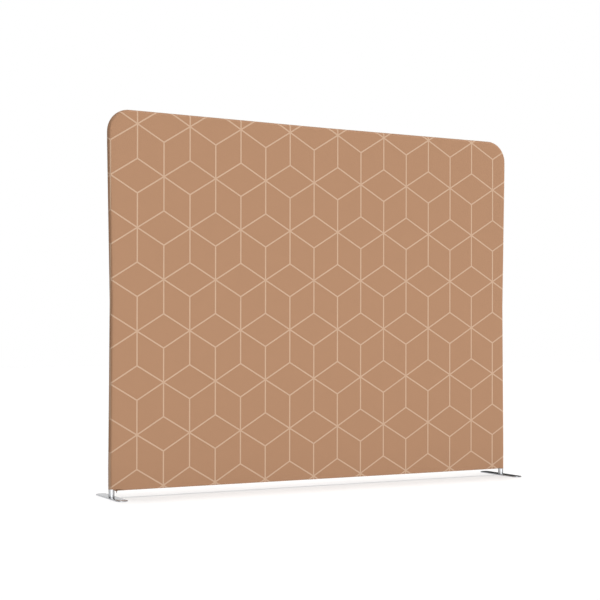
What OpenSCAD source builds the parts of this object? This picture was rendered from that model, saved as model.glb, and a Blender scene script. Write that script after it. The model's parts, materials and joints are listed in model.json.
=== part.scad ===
// Fabric room divider: a printed stretch sleeve, closed by a zip along its lower edge,
// over a plug-together frame of round tubes that stands on two flat foot plates.
// Origin: on the floor, in the middle between the feet. X runs along the screen to the
// right, Y runs to the back and Z up. Sizes are in millimetres.

/* [Screen] */
// Width of the screen over the cloth
screen_w = 2500; // [1500:10:3000]
// Height from the floor to the top of the cloth
screen_h = 1994; // [1500:1:2400]
// Outer radius of the two top corners over the cloth
corner_r = 118; // [90:1:260]
// How far the taut cloth draws each side in at its middle joint
side_pinch = 11; // [0:0.5:14]
// How far the taut cloth draws the top rail down at its middle
top_pinch = 3.5; // [0:0.5:8]

/* [Tubes] */
// Outer diameter of the frame tubes
tube_d = 30; // [28:0.5:36]
// Wall of the frame tubes
tube_wall = 1.5; // [1.2:0.1:2]
// Straight length at each end of a bent top corner
corner_leg = 60; // [56:1:120]
// Height of the upright part of a corner tee above its foot plate
tee_h = 160; // [150:1:240]
// Height above the floor of the joints in the middle of the uprights
joint_h = 1010; // [700:5:1150]
// Length of the full-size collar at the heart of a centre tee
collar_l = 36; // [34:1:60]
// Gap between a tube's square end and the round tube that it butts on
butt_gap = 2; // [1.5:0.5:4]
// Slack between the ends of two tubes at a plugged joint
end_slack = 0.6; // [0.5:0.1:2]

/* [Plugged joints] */
// Length that a sleeve or stub reaches into a tube
plug_l = 50; // [46:1:54]
// Wall of the sleeves and stubs
plug_wall = 1.5; // [1.2:0.1:2]
// Clearance left at the tip of a sleeve when its joint is drawn askew
plug_fit = 0.1; // [0.05:0.05:0.3]
// Diameter of a snap button
snap_d = 7.6; // [6:0.2:8]
// Clearance all round a snap button in its holes
snap_fit = 0.2; // [0.1:0.05:0.4]
// How far a snap button stands out of the tube
snap_proud = 2.2; // [1:0.1:3]
// Distance from a joint to its snap button
snap_at = 30; // [28:1:36]
// Thickness of a snap button's inner flange
snap_flange_t = 1; // [0.8:0.1:1.5]
// How far a snap button's flange stands out past its stem
snap_flange_rim = 1; // [0.6:0.1:1.2]
// Thickness of the spring strip behind a snap button
strip_t = 0.8; // [0.5:0.1:1]
// Width of the spring strip
strip_w = 8; // [6:0.5:9]
// Length of the spring from its button to its bend
strip_l = 27; // [20:1:27]
// Diameter of the rivets that hold the sleeves
rivet_d = 4.8; // [4:0.1:6]
// Distance from a joint to its rivet
rivet_at = 25; // [20:1:35]
// Thickness of a rivet's head
rivet_head_t = 1.2; // [0.8:0.1:2]

/* [Feet] */
// Length of a foot plate, across the screen
plate_l = 360; // [250:5:500]
// Width of a foot plate, along the screen
plate_w = 60; // [50:1:120]
// Thickness of a foot plate
plate_t = 6; // [5:0.5:10]
// Corner radius of a foot plate
plate_r = 25; // [5:1:25]
// Height of the spigot that carries an upright
spigot_h = 70; // [50:1:90]
// Clearance all round the spigot in the upright
spigot_fit = 0.06; // [0.03:0.01:0.1]
// Gap between a foot plate and the end of its upright
foot_gap = 0.2; // [0.1:0.1:0.5]
// Diameter of the screw that holds the spigot
screw_d = 8; // [6:1:10]
// Diameter of the countersunk head of that screw
screw_head_d = 16; // [13:1:18]
// How deep that screw reaches into the spigot
screw_grip = 18; // [10:1:30]

/* [Cover] */
// Thickness of the stretch cloth
cloth_t = 0.8; // [0.5:0.1:1.5]
// Clearance between the cloth and the frame
cloth_gap = 0.3; // [0.3:0.1:1]
// Height of the cloth's lower edge above the foot plates
hem_h = 32; // [20:1:80]
// Inner radius of the hem's turn under the bottom rail
hem_r = 9; // [7:0.5:10]
// Space under the bottom rail in which the zip slider runs
rail_lift = 3; // [2.6:0.1:6]
// Clearance between the ends of the hem and the uprights
hem_end_gap = 3; // [1:0.5:10]

/* [Zip] */
// Width of one row of zip coil
coil_w = 2.6; // [2:0.1:3]
// Height of the zip coil
coil_h = 2; // [1.5:0.1:3]
// Gap between the two rows of coil, in which the slider's bridge runs
coil_gap = 1.2; // [1:0.1:2]
// Gap between the coil and the folded edge of the hem
hem_mouth = 0.8; // [0.5:0.1:0.9]
// Thickness of the zip tape
tape_t = 0.5; // [0.3:0.1:0.8]
// Distance from the end of the hem to the end of the zip
zip_inset = 1; // [0.5:0.5:40]
// Length of the end stops
stop_l = 2; // [2:0.5:6]
// Length of the slider
slider_l = 12; // [9:0.5:15]
// Width of the slider
slider_w = 9; // [8.8:0.1:10]
// Thickness of the slider's plates
slider_t = 1; // [0.7:0.1:1.1]
// Running gap between the slider and the tape, the coil and the hem
slider_gap = 0.3; // [0.2:0.05:0.4]
// Length of the pull tab below its pin
pull_l = 9; // [7:0.5:10]
// Width of the pull tab
pull_w = 6; // [5.5:0.5:9]
// Thickness of the pull tab
pull_t = 1.6; // [1:0.1:2]
// Diameter of the pull tab's pin
pin_d = 1.6; // [1.2:0.1:2]
// Clearance all round that pin
pin_fit = 0.05; // [0.03:0.01:0.1]

/* [Hidden] */

$fn = 96;
LEFT = -1;
RIGHT = 1;
FRONT = -1;
BACK = 1;
eps = 0.01;

tube_r = tube_d / 2;
bore_r = tube_r - tube_wall;
cloth_in = tube_r + cloth_gap;
reach = cloth_in + cloth_t;

// Heights and places of the frame's axes
axis_x = screen_w / 2 - reach;
top_z = screen_h - reach;
bend_r = corner_r - reach;
leg_z = top_z - bend_r - corner_leg;
leg_x = axis_x - bend_r - corner_leg;
hem_z = plate_t + hem_h;
rail_z = hem_z + cloth_t + rail_lift + tube_r;
tee_z = plate_t + tee_h;
butt = tube_r + butt_gap;

// Joints of the frame, as [x, z] points on the tube axes; s is LEFT or RIGHT
function tee_top(s) = [s * axis_x, tee_z];
function tee_foot(s) = [s * axis_x, plate_t + foot_gap];
function post_mid(s) = [s * (axis_x - side_pinch), joint_h];
function leg_foot(s) = [s * axis_x, leg_z];
function bend_foot(s) = [s * axis_x, top_z - bend_r];
function bend_head(s) = [s * (axis_x - bend_r), top_z];
function leg_end(s) = [s * leg_x, top_z];
function rail_mid(s) = [s * collar_l / 2, top_z - top_pinch];
function base_end(s) = [s * (axis_x - butt), rail_z];
function base_mid(s) = [s * collar_l / 2, rail_z];
centre_base = [0, rail_z + butt];
centre_mid = [0, joint_h];
centre_top = [0, top_z - top_pinch - butt];

// Direction from p to q, in degrees from straight up towards +X
function heading(p, q) = atan2(q[0] - p[0], q[1] - p[1]);

// The sleeves are looser than the bore by what the drawn-in joints need
lower_lean = atan2(side_pinch, joint_h - tee_z);
upper_lean = atan2(side_pinch, leg_z - joint_h);
plug_play = plug_l * sin((lower_lean + upper_lean) / 2) + plug_fit;
plug_r = bore_r - plug_play;
plug_bore_r = plug_r - plug_wall;

// Snap button: its flange stops on the inside of the sleeve
snap_r = snap_d / 2;
snap_hole_r = snap_r + snap_fit;
flange_r = snap_r + snap_flange_rim;
flange_clear = 0.5;
flange_z = sqrt(pow(plug_bore_r - flange_clear, 2) - pow(flange_r, 2));
snap_tip_h = 1.2;
snap_tip_r = snap_r - 1.2;

// Each snap button: the joint, the far end of the tube that it locks, where it faces
IN_LEFT = [1, 0];
IN_RIGHT = [-1, 0];
DOWN = [0, -1];
UP = [0, 1];
SNAPS = [
    [tee_top(LEFT), post_mid(LEFT), IN_LEFT],
    [tee_top(RIGHT), post_mid(RIGHT), IN_RIGHT],
    [post_mid(LEFT), leg_foot(LEFT), IN_LEFT],
    [post_mid(RIGHT), leg_foot(RIGHT), IN_RIGHT],
    [leg_foot(LEFT), bend_foot(LEFT), IN_LEFT],
    [leg_foot(RIGHT), bend_foot(RIGHT), IN_RIGHT],
    [leg_end(LEFT), rail_mid(LEFT), DOWN],
    [leg_end(RIGHT), rail_mid(RIGHT), DOWN],
    [base_end(LEFT), base_mid(LEFT), UP],
    [base_end(RIGHT), base_mid(RIGHT), UP],
    [rail_mid(LEFT), leg_end(LEFT), DOWN],
    [rail_mid(RIGHT), leg_end(RIGHT), DOWN],
    [base_mid(LEFT), base_end(LEFT), UP],
    [base_mid(RIGHT), base_end(RIGHT), UP],
    [centre_top, centre_mid, IN_LEFT],
    [centre_mid, centre_top, IN_LEFT],
    [centre_base, centre_mid, IN_LEFT]
];
SNAP_TEE = 0;
SNAP_POST = 2;
SNAP_CORNER = 4;
SNAP_RAIL = 6;
SNAP_BASE = 8;
SNAP_TOP_CENTRE = 10;
SNAP_BASE_CENTRE = 12;
SNAP_CENTRE_TOP = 14;
SNAP_CENTRE_MID = 15;
SNAP_CENTRE_BASE = 16;

// Each rivet: the joint, the far end of the tube that keeps the sleeve, where it faces
RIVETS = [
    [tee_top(LEFT), tee_foot(LEFT), IN_LEFT],
    [tee_top(RIGHT), tee_foot(RIGHT), IN_RIGHT],
    [post_mid(LEFT), tee_top(LEFT), IN_LEFT],
    [post_mid(RIGHT), tee_top(RIGHT), IN_RIGHT],
    [leg_foot(LEFT), post_mid(LEFT), IN_LEFT],
    [leg_foot(RIGHT), post_mid(RIGHT), IN_RIGHT],
    [leg_end(LEFT), bend_head(LEFT), DOWN],
    [leg_end(RIGHT), bend_head(RIGHT), DOWN],
    [centre_mid, centre_base, IN_LEFT]
];
RIVET_TEE = 0;
RIVET_POST = 2;
RIVET_CORNER = 4;
RIVET_RAIL = 6;
RIVET_CENTRE = 8;
rivet_fit = 0.05;
rivet_head_r = rivet_d * 0.95;
rivet_tail_r = rivet_d * 0.75;
rivet_tail_t = 1.4;
rivet_tail_z = sqrt(pow(plug_bore_r, 2) - pow(rivet_tail_r, 2)) - rivet_tail_t - 0.4;

// Index of the left or right one of a pair that is listed left first
function pair(first, s) = first + (s == LEFT ? 0 : 1);

// Foot screw: its countersunk head stays just clear of the floor
screw_cone_h = (screw_head_d - screw_d) / 2;
screw_sink = 0.3;

// Cover: the outline runs on the tube axes, from the left hem over the top to the right
hem_c = hem_z + cloth_t + hem_r;
hem_x = axis_x - tube_r - hem_end_gap;
BEND_STEPS = 18;
ROLL_STEPS = 8;
HALF_OUTLINE = [
    [[-axis_x, hem_z], [-1, 0]],
    [[-axis_x, hem_c], [-1, 0]],
    [tee_top(LEFT), [-1, 0]],
    [post_mid(LEFT), [-1, 0]],
    [leg_foot(LEFT), [-1, 0]],
    for (i = [0 : BEND_STEPS])
        let (a = 90 * i / BEND_STEPS)
        [
            [-axis_x + bend_r - bend_r * cos(a), top_z - bend_r + bend_r * sin(a)],
            [-cos(a), sin(a)]
        ],
    [leg_end(LEFT), [0, 1]]
];
half_n = len(HALF_OUTLINE);
OUTLINE = [
    each HALF_OUTLINE,
    [[0, top_z - top_pinch], [0, 1]],
    for (i = [half_n - 1 : -1 : 0])
        let (o = HALF_OUTLINE[i])
        [[-o[0][0], o[0][1]], [-o[1][0], o[1][1]]]
];

// Zip: levels and places
tape_z = hem_z + cloth_t;
coil_z = tape_z - coil_h;
coil_y = coil_gap / 2;
hem_mouth_y = coil_y + coil_w + hem_mouth;
hem_flat_y = cloth_in - hem_r;
zip_x = hem_x - zip_inset;
slider_x = -zip_x + stop_l + slider_gap;
slider_low_z = coil_z - slider_gap - slider_t;
slider_top_z = tape_z + tape_t + slider_gap;
bridge_l = slider_l * 0.3;
bridge_w = coil_gap - 0.4;
flank_w = slider_w / 2 - coil_y - coil_w - slider_gap;
pin_r = pin_d / 2;
eye_r = pin_r + pin_fit + 0.9;
pull_z = slider_low_z - eye_r - 0.35;
pull_x = slider_x + slider_l / 2;
lug_w = 1;
lug_y = slider_w / 2 - 1.3;
lug_gap = 0.2;

// Tubes, sleeves and what locks them
module between(p, q) {
    translate([p[0], 0, p[1]])
        rotate([0, heading(p, q), 0])
            children();
}

module pipe(l, r, wall) {
    difference() {
        cylinder(h = l, r = r);
        translate([0, 0, -1])
            cylinder(h = l + 2, r = r - wall);
    }
}

// A frame tube from joint p to joint q, shortened at each end by half the slack
module frame_tube(p, q, wall = tube_wall) {
    between(p, q)
        translate([0, 0, end_slack / 2])
            pipe(norm(q - p) - end_slack, tube_r, wall);
}

// Puts its children at distance d from a joint, with +Z out of the tube wall
module on_wall(spot, d) {
    a = heading(spot[0], spot[1]);
    side = cos(a) * spot[2][0] - sin(a) * spot[2][1] > 0 ? 1 : -1;
    between(spot[0], spot[1])
        translate([0, 0, d])
            rotate([0, 90 * side, 0])
                mirror([side < 0 ? 1 : 0, 0, 0])
                    children();
}

module snap_hole(k) {
    on_wall(SNAPS[k], snap_at)
        cylinder(h = tube_d, r = snap_hole_r);
}

module rivet_hole(k) {
    on_wall(RIVETS[k], rivet_at)
        cylinder(h = tube_d, r = rivet_d / 2 + rivet_fit);
}

// A sleeve that bridges joint j between the tubes from p and to q
module sleeve(p, j, q, snap, rivet) {
    a = (heading(p, j) + heading(j, q)) / 2;
    color("silver")
        difference() {
            translate([j[0], 0, j[1]])
                rotate([0, a, 0])
                    translate([0, 0, -plug_l])
                        pipe(2 * plug_l, plug_r, plug_wall);
            snap_hole(snap);
            rivet_hole(rivet);
        }
}

module snap_button(k) {
    tip_z = tube_r + snap_proud;
    color("gainsboro")
        on_wall(SNAPS[k], snap_at)
            union() {
                translate([0, 0, flange_z - snap_flange_t])
                    cylinder(h = snap_flange_t, r = flange_r);
                translate([0, 0, flange_z - snap_flange_t])
                    cylinder(h = tip_z - snap_tip_h - flange_z + snap_flange_t, r = snap_r);
                translate([0, 0, tip_z - snap_tip_h])
                    cylinder(h = snap_tip_h, r1 = snap_r, r2 = snap_tip_r);
            }
}

// Outline of a strip of thickness t along the points of a centreline
function unit(v) = v / norm(v);
function strip_normal(c, i) =
    let (a = c[max(i - 1, 0)], b = c[min(i + 1, len(c) - 1)], d = unit(b - a))
    [-d[1], d[0]];
function strip_outline(c, t) = [
    for (i = [0 : len(c) - 1]) c[i] + strip_normal(c, i) * t / 2,
    for (i = [len(c) - 1 : -1 : 0]) c[i] - strip_normal(c, i) * t / 2
];

// The V-shaped strip spring: one leg lifts the button, the other lies on the far wall
module snap_spring(k) {
    seat_z = flange_z - snap_flange_t - strip_t / 2 - 0.05;
    foot_z = -sqrt(pow(plug_bore_r - 0.4, 2) - pow(strip_w / 2, 2)) + strip_t / 2;
    turn_r = 2.4;
    turn_z = foot_z + turn_r;
    centreline = [
        [-flange_r, seat_z],
        [flange_r, seat_z],
        for (a = [60 : -30 : -90])
            [strip_l - turn_r + turn_r * cos(a), turn_z + turn_r * sin(a)],
        [-flange_r, foot_z]
    ];
    on_wall(SNAPS[k], snap_at)
        rotate([90, 0, 0])
            translate([0, 0, -strip_w / 2])
                linear_extrude(strip_w)
                    polygon(strip_outline(centreline, strip_t));
}

module snap_springs() {
    color("slategray")
        for (k = [0 : len(SNAPS) - 1])
            snap_spring(k);
}

module sleeve_rivets() {
    color("silver")
        for (k = [0 : len(RIVETS) - 1])
            on_wall(RIVETS[k], rivet_at)
                union() {
                    translate([0, 0, rivet_tail_z])
                        cylinder(h = tube_r + eps - rivet_tail_z, r = rivet_d / 2);
                    translate([0, 0, rivet_tail_z])
                        cylinder(h = rivet_tail_t, r = rivet_tail_r);
                    translate([0, 0, tube_r + eps])
                        cylinder(h = rivet_head_t, r1 = rivet_head_r, r2 = rivet_head_r * 0.6);
                }
}

// Feet
module foot_plate(s) {
    flat_w = plate_w - 2 * plate_r;
    flat_l = plate_l - 2 * plate_r;
    color("lightgray")
        translate([s * axis_x, 0, 0])
            difference() {
                linear_extrude(plate_t)
                    union() {
                        square([flat_w, plate_l], center = true);
                        square([plate_w, flat_l], center = true);
                        for (x = [-1, 1], y = [-1, 1])
                            translate([x * flat_w / 2, y * flat_l / 2])
                                circle(r = plate_r);
                    }
                translate([0, 0, -1])
                    cylinder(h = plate_t + 2, r = screw_d / 2 + 0.1);
                translate([0, 0, -eps])
                    cylinder(h = screw_cone_h, r1 = screw_head_d / 2 + 0.1, r2 = screw_d / 2 + 0.1);
            }
}
module foot_spigot(s) {
    r = bore_r - spigot_fit;
    tip = 3;
    color("gray")
        translate([s * axis_x, 0, plate_t])
            difference() {
                union() {
                    cylinder(h = spigot_h - tip, r = r);
                    translate([0, 0, spigot_h - tip])
                        cylinder(h = tip, r1 = r, r2 = r - tip);
                }
                translate([0, 0, -1])
                    cylinder(h = screw_grip + 3, r = screw_d / 2 + 0.05);
            }
}

module foot_screw(s) {
    key_d = screw_d * 0.7;
    color("dimgray")
        translate([s * axis_x, 0, screw_sink])
            difference() {
                union() {
                    cylinder(h = screw_cone_h, r1 = screw_head_d / 2 - 0.3, r2 = screw_d / 2 - 0.3);
                    cylinder(h = plate_t + screw_grip - screw_sink, r = screw_d / 2);
                }
                translate([0, 0, -1])
                    cylinder(h = 1 + screw_cone_h * 0.6, d = key_d, $fn = 6);
            }
}

// Frame
module corner_tee(s) {
    stub_l = butt + plug_l;
    color("silver")
        difference() {
            union() {
                translate([s * axis_x, 0, plate_t + foot_gap])
                    cylinder(h = tee_h - foot_gap - end_slack / 2, r = tube_r);
                translate([s * axis_x, 0, rail_z])
                    rotate([0, -s * 90, 0])
                        cylinder(h = stub_l, r = plug_r);
            }
            translate([s * axis_x, 0, 0])
                cylinder(h = tee_z + 1, r = bore_r);
            translate([s * (axis_x - tube_r - 1), 0, rail_z])
                rotate([0, -s * 90, 0])
                    cylinder(h = stub_l, r = plug_bore_r);
            rivet_hole(pair(RIVET_TEE, s));
            snap_hole(pair(SNAP_BASE, s));
        }
}

module lower_post(s) {
    color("silver")
        difference() {
            frame_tube(tee_top(s), post_mid(s));
            snap_hole(pair(SNAP_TEE, s));
            rivet_hole(pair(RIVET_POST, s));
        }
}

module upper_post(s) {
    color("silver")
        difference() {
            frame_tube(post_mid(s), leg_foot(s));
            snap_hole(pair(SNAP_POST, s));
            rivet_hole(pair(RIVET_CORNER, s));
        }
}

// A rod through the bent corner, from one end to the other, past both by extra
module corner_rod(r, extra) {
    leg = corner_leg - end_slack / 2 + extra;
    translate([axis_x, 0, top_z - bend_r - leg])
        cylinder(h = leg, r = r);
    translate([axis_x - bend_r, 0, top_z - bend_r])
        rotate([90, 0, 0])
            rotate_extrude(angle = 90)
                translate([bend_r, 0])
                    circle(r = r);
    translate([axis_x - bend_r - leg, 0, top_z])
        rotate([0, 90, 0])
            cylinder(h = leg, r = r);
}

module top_corner(s) {
    color("silver")
        difference() {
            mirror([s == LEFT ? 1 : 0, 0, 0])
                difference() {
                    corner_rod(tube_r, 0);
                    corner_rod(bore_r, 1);
                }
            snap_hole(pair(SNAP_CORNER, s));
            rivet_hole(pair(RIVET_RAIL, s));
        }
}

module top_rail(s) {
    color("silver")
        difference() {
            frame_tube(leg_end(s), rail_mid(s));
            snap_hole(pair(SNAP_RAIL, s));
            snap_hole(pair(SNAP_TOP_CENTRE, s));
        }
}

module bottom_rail(s) {
    color("silver")
        difference() {
            frame_tube(base_end(s), base_mid(s));
            snap_hole(pair(SNAP_BASE, s));
            snap_hole(pair(SNAP_BASE_CENTRE, s));
        }
}

module centre_post_lower() {
    color("silver")
        difference() {
            frame_tube(centre_base, centre_mid);
            snap_hole(SNAP_CENTRE_BASE);
            rivet_hole(RIVET_CENTRE);
        }
}

module centre_post_upper() {
    color("silver")
        difference() {
            frame_tube(centre_mid, centre_top);
            snap_hole(SNAP_CENTRE_MID);
            snap_hole(SNAP_CENTRE_TOP);
        }
}

// A tee at the middle of a rail, at height z, with its stub turned up or down
module centre_tee(z, turn, side_snaps, stub_snap) {
    color("silver")
        difference() {
            translate([0, 0, z])
                difference() {
                    union() {
                        rotate([0, 90, 0])
                            cylinder(h = collar_l - end_slack, r = tube_r, center = true);
                        rotate([0, 90, 0])
                            cylinder(h = collar_l + 2 * plug_l, r = plug_r, center = true);
                        rotate([0, turn, 0])
                            cylinder(h = butt + plug_l, r = plug_r);
                    }
                    rotate([0, 90, 0])
                        cylinder(h = collar_l + 2 * plug_l + 2, r = plug_bore_r, center = true);
                    rotate([0, turn, 0])
                        translate([0, 0, tube_r + 1])
                            cylinder(h = butt + plug_l, r = plug_bore_r);
                }
            snap_hole(side_snaps);
            snap_hole(side_snaps + 1);
            snap_hole(stub_snap);
        }
}

module top_centre_tee() {
    centre_tee(top_z - top_pinch, 180, SNAP_TOP_CENTRE, SNAP_CENTRE_TOP);
}

module bottom_centre_tee() {
    centre_tee(rail_z, 0, SNAP_BASE_CENTRE, SNAP_CENTRE_BASE);
}

// Cover
// A closed half shell: a taut face that rolls round the tubes to the seam at y = 0
module cover_half(side) {
    n = len(OUTLINE);
    m = ROLL_STEPS + 1;
    function shell(r) = [
        for (o = OUTLINE, j = [0 : ROLL_STEPS])
            let (a = 90 * j / ROLL_STEPS)
            [o[0][0] + o[1][0] * r * sin(a), -r * cos(a), o[0][1] + o[1][1] * r * sin(a)]
    ];
    function face(r) = [
        [0, -r, joint_h],
        [-hem_x, -r, hem_c],
        [-hem_x, -r, hem_z],
        [hem_x, -r, hem_z],
        [hem_x, -r, hem_c]
    ];
    outer = 0;
    inner = n * m;
    outer_face = 2 * n * m;
    inner_face = outer_face + 5;
    last = (n - 1) * m;
    points = concat(shell(reach), shell(cloth_in), face(reach), face(cloth_in));
    skin = function (base, flat) [
        for (i = [0 : n - 2], j = [0 : ROLL_STEPS - 1])
            let (p = base + i * m + j)
            each [[p, p + 1, p + m + 1], [p, p + m + 1, p + m]],
        for (i = [1 : n - 3])
            [flat, base + i * m, base + (i + 1) * m],
        [flat, base + (n - 2) * m, flat + 4],
        [flat, flat + 4, flat + 1],
        [flat, flat + 1, base + m],
        [flat + 1, flat + 2, base],
        [flat + 1, base, base + m],
        [flat + 4, base + last - m, base + last],
        [flat + 4, base + last, flat + 3]
    ];
    rim = [
        for (i = [0 : n - 2]) [outer + i * m + ROLL_STEPS, outer + (i + 1) * m + ROLL_STEPS],
        for (j = [ROLL_STEPS : -1 : 1]) [outer + last + j, outer + last + j - 1],
        [outer + last, outer_face + 3],
        [outer_face + 3, outer_face + 4],
        [outer_face + 4, outer_face + 1],
        [outer_face + 1, outer_face + 2],
        [outer_face + 2, outer],
        for (j = [0 : ROLL_STEPS - 1]) [outer + j, outer + j + 1]
    ];
    function under(p) = p < inner ? p + inner : p + 5;
    walls = [
        for (e = rim)
            each [[e[0], e[1], under(e[1])], [e[0], under(e[1]), under(e[0])]]
    ];
    outside = skin(outer, outer_face);
    inside = [for (t = skin(inner, inner_face)) [t[2], t[1], t[0]]];
    color("rosybrown")
        mirror([0, side == BACK ? 1 : 0, 0])
            polyhedron(points = points, faces = concat(outside, inside, [for (t = walls) [t[2], t[1], t[0]]]));
}

module front_panel() {
    cover_half(FRONT);
}

module back_panel() {
    cover_half(BACK);
}

// The turn of the cloth under the bottom rail, as far as the zip
module hem(side) {
    steps = 8;
    arc = function (r) [
        for (i = [0 : steps])
            let (a = 90 * i / steps)
            [side * (hem_flat_y + r * cos(a)), hem_c - r * sin(a)]
    ];
    back_arc = arc(hem_r);
    profile = [
        each arc(hem_r + cloth_t),
        [side * hem_mouth_y, hem_z],
        [side * hem_mouth_y, hem_z + cloth_t],
        for (i = [steps : -1 : 0]) back_arc[i]
    ];
    color("rosybrown")
        translate([-hem_x, 0, 0])
            rotate([90, 0, 90])
                linear_extrude(2 * hem_x)
                    polygon(profile);
}

module front_hem() {
    hem(FRONT);
}

module back_hem() {
    hem(BACK);
}

// A bar along the zip: from x0 to x1, from y0 to y1 out from the middle on one side
module zip_bar(side, x0, x1, y0, y1, z0, z1) {
    translate([x0, side == FRONT ? -y1 : y0, z0])
        cube([x1 - x0, y1 - y0, z1 - z0]);
}

module zip_tape(side) {
    color("saddlebrown")
        zip_bar(side, -zip_x, zip_x, coil_y, hem_flat_y, tape_z, tape_z + tape_t);
}

module zip_coils() {
    color("saddlebrown")
        for (side = [FRONT, BACK])
            zip_bar(side, -zip_x + stop_l, zip_x - stop_l, coil_y, coil_y + coil_w, coil_z, tape_z);
}

module zip_stops() {
    color("dimgray") {
        for (side = [FRONT, BACK])
            zip_bar(side, -zip_x, -zip_x + stop_l, coil_y, coil_y + coil_w, coil_z, tape_z);
        translate([zip_x - stop_l, -coil_y - coil_w, coil_z])
            cube([stop_l, 2 * (coil_y + coil_w), coil_h]);
    }
}

// The slider: two plates joined by a bridge at its nose, flanks, and lugs with a pin
module zip_slider() {
    half_w = slider_w / 2;
    flank_top = hem_z - slider_gap;
    color("dimgray")
        union() {
            translate([slider_x, -half_w, slider_low_z])
                cube([slider_l, slider_w, slider_t]);
            translate([slider_x, -half_w, slider_top_z])
                cube([slider_l, slider_w, slider_t]);
            translate([slider_x, -bridge_w / 2, slider_low_z])
                cube([bridge_l, bridge_w, slider_top_z + slider_t - slider_low_z]);
            for (side = [FRONT, BACK])
                zip_bar(side, slider_x, slider_x + slider_l, half_w - flank_w, half_w,
                    slider_low_z, flank_top);
            for (side = [FRONT, BACK])
                zip_bar(side, pull_x - eye_r, pull_x + eye_r, lug_y - lug_w, lug_y,
                    pull_z - eye_r + 0.3, slider_low_z + slider_t / 2);
            translate([pull_x, lug_y - lug_w / 2, pull_z])
                rotate([90, 0, 0])
                    cylinder(h = 2 * lug_y - lug_w, r = pin_r);
        }
}

module zip_pull() {
    eye_w = 2 * (lug_y - lug_w - lug_gap);
    neck = eye_r + 2;
    color("dimgray")
        difference() {
            union() {
                translate([pull_x, eye_w / 2, pull_z])
                    rotate([90, 0, 0])
                        cylinder(h = eye_w, r = eye_r);
                translate([pull_x - pull_t / 2, -eye_w / 2, pull_z - neck])
                    cube([pull_t, eye_w, neck]);
                translate([pull_x - pull_t / 2, -pull_w / 2, pull_z - pull_l])
                    cube([pull_t, pull_w, pull_l - neck]);
            }
            translate([pull_x, eye_w / 2 + 1, pull_z])
                rotate([90, 0, 0])
                    cylinder(h = eye_w + 2, r = pin_r + pin_fit);
        }
}

foot_plate(LEFT);  // foot_plate_left
foot_plate(RIGHT);  // foot_plate_right
foot_spigot(LEFT);  // foot_spigot_left
foot_spigot(RIGHT);  // foot_spigot_right
foot_screw(LEFT);  // foot_screw_left
foot_screw(RIGHT);  // foot_screw_right
corner_tee(LEFT);  // corner_tee_left
corner_tee(RIGHT);  // corner_tee_right
lower_post(LEFT);  // lower_post_left
lower_post(RIGHT);  // lower_post_right
upper_post(LEFT);  // upper_post_left
upper_post(RIGHT);  // upper_post_right
top_corner(LEFT);  // top_corner_left
top_corner(RIGHT);  // top_corner_right
top_rail(LEFT);  // top_rail_left
top_rail(RIGHT);  // top_rail_right
bottom_rail(LEFT);  // bottom_rail_left
bottom_rail(RIGHT);  // bottom_rail_right
centre_post_lower();
centre_post_upper();
top_centre_tee();
bottom_centre_tee();
sleeve(tee_foot(LEFT), tee_top(LEFT), post_mid(LEFT), SNAP_TEE, RIVET_TEE);  // tee_sleeve_left
sleeve(tee_foot(RIGHT), tee_top(RIGHT), post_mid(RIGHT), SNAP_TEE + 1, RIVET_TEE + 1);  // tee_sleeve_right
sleeve(tee_top(LEFT), post_mid(LEFT), leg_foot(LEFT), SNAP_POST, RIVET_POST);  // post_sleeve_left
sleeve(tee_top(RIGHT), post_mid(RIGHT), leg_foot(RIGHT), SNAP_POST + 1, RIVET_POST + 1);  // post_sleeve_right
sleeve(post_mid(LEFT), leg_foot(LEFT), bend_foot(LEFT), SNAP_CORNER, RIVET_CORNER);  // corner_sleeve_left
sleeve(post_mid(RIGHT), leg_foot(RIGHT), bend_foot(RIGHT), SNAP_CORNER + 1, RIVET_CORNER + 1);  // corner_sleeve_right
sleeve(bend_head(LEFT), leg_end(LEFT), rail_mid(LEFT), SNAP_RAIL, RIVET_RAIL);  // rail_sleeve_left
sleeve(bend_head(RIGHT), leg_end(RIGHT), rail_mid(RIGHT), SNAP_RAIL + 1, RIVET_RAIL + 1);  // rail_sleeve_right
sleeve(centre_base, centre_mid, centre_top, SNAP_CENTRE_MID, RIVET_CENTRE);  // centre_sleeve
sleeve_rivets();
snap_springs();
snap_button(SNAP_TEE);  // snap_tee_left
snap_button(SNAP_TEE + 1);  // snap_tee_right
snap_button(SNAP_POST);  // snap_post_left
snap_button(SNAP_POST + 1);  // snap_post_right
snap_button(SNAP_CORNER);  // snap_corner_left
snap_button(SNAP_CORNER + 1);  // snap_corner_right
snap_button(SNAP_RAIL);  // snap_rail_left
snap_button(SNAP_RAIL + 1);  // snap_rail_right
snap_button(SNAP_BASE);  // snap_base_left
snap_button(SNAP_BASE + 1);  // snap_base_right
snap_button(SNAP_TOP_CENTRE);  // snap_top_centre_left
snap_button(SNAP_TOP_CENTRE + 1);  // snap_top_centre_right
snap_button(SNAP_BASE_CENTRE);  // snap_base_centre_left
snap_button(SNAP_BASE_CENTRE + 1);  // snap_base_centre_right
snap_button(SNAP_CENTRE_TOP);  // snap_centre_top
snap_button(SNAP_CENTRE_MID);  // snap_centre_middle
snap_button(SNAP_CENTRE_BASE);  // snap_centre_base
front_panel();
back_panel();
front_hem();
back_hem();
zip_tape(FRONT);  // zip_tape_front
zip_tape(BACK);  // zip_tape_back
zip_coils();
zip_slider();
zip_pull();
zip_stops();
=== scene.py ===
"""Fabric room divider: dresses the packed frame with its printed sleeve, zip and feet."""

import json
import math
from itertools import pairwise

import bmesh
import bpy
import numpy
from bpy.props import FloatProperty, FloatVectorProperty, PointerProperty
from mathutils import Matrix, Vector


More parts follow.
